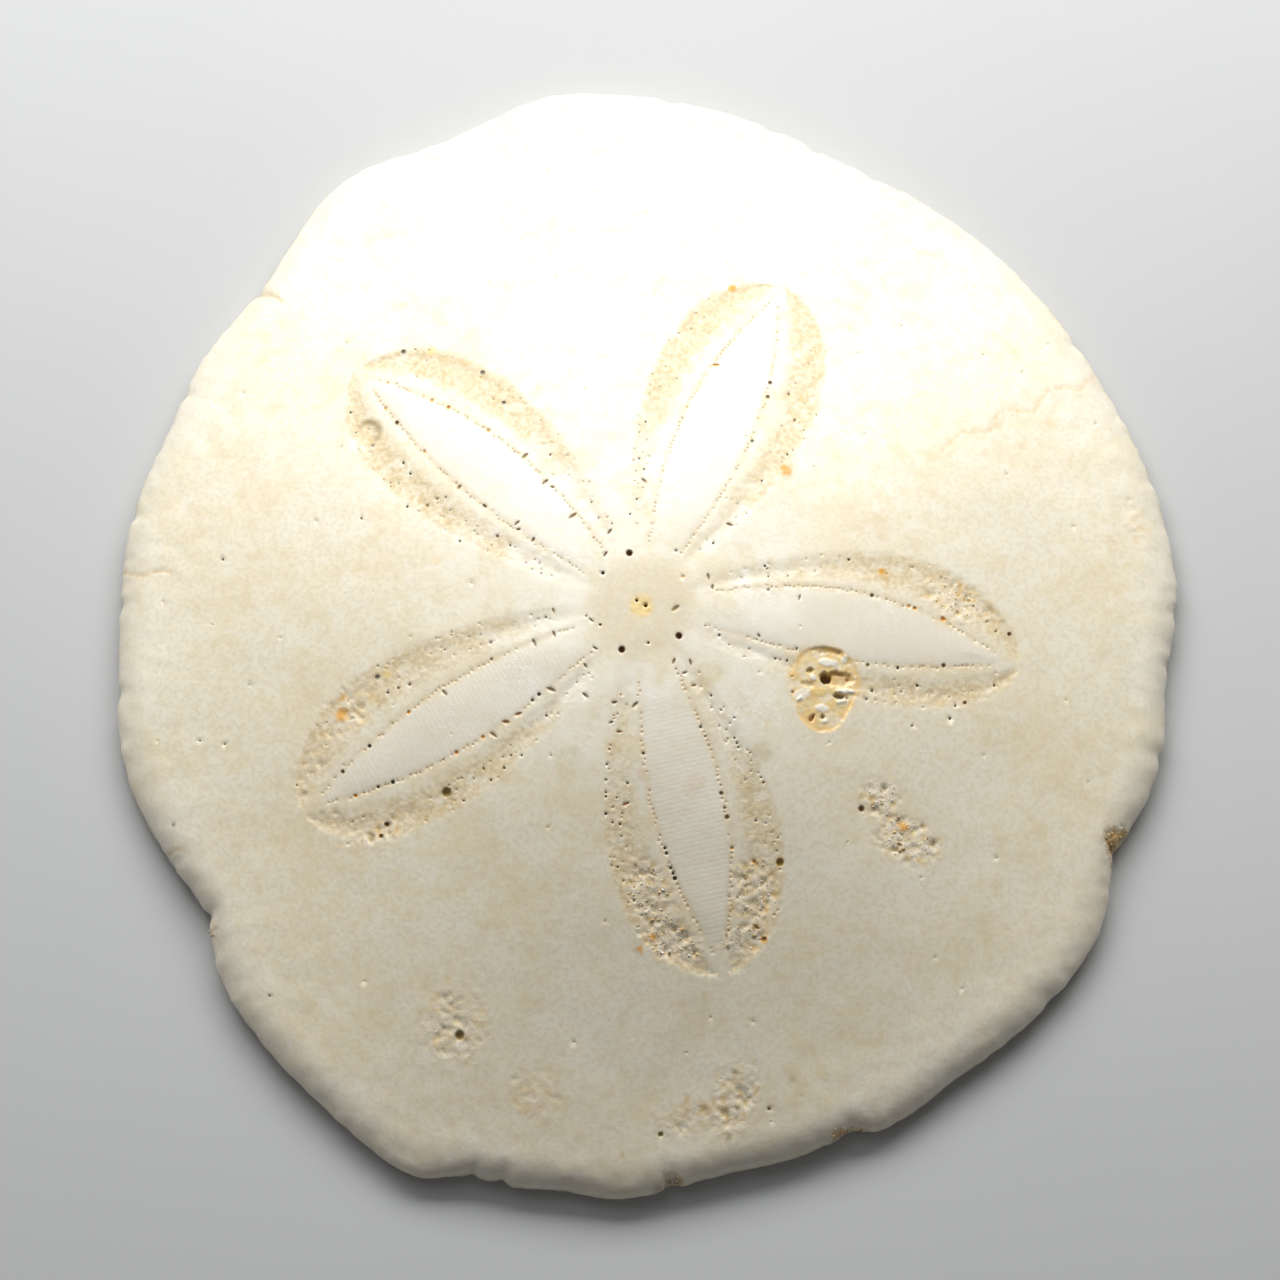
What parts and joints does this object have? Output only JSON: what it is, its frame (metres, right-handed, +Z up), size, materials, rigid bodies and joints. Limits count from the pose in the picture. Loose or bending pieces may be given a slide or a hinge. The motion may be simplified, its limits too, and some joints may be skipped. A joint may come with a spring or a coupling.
{
  "type": "sand dollar",
  "caption": "Fossil sand dollar: a flat, low-domed sea urchin test with a five-petal pore pattern, worn lobed edge and an old boring scar.",
  "frame": {"origin": "middle of the bounding box, on the surface the sand dollar lies on", "axes": "+Z up out of the domed back, +Y along the longest extent towards the front petal's side, +X to the right seen from above"},
  "size_m": [0.132, 0.142, 0.0195],
  "materials": {
    "calcite": "polished cream calcite, beige and grainy in the petal bands, with ochre sediment in the pits"
  },
  "bodies": {
    "root": {"shell": "calcite"}
  },
  "joints": []
}
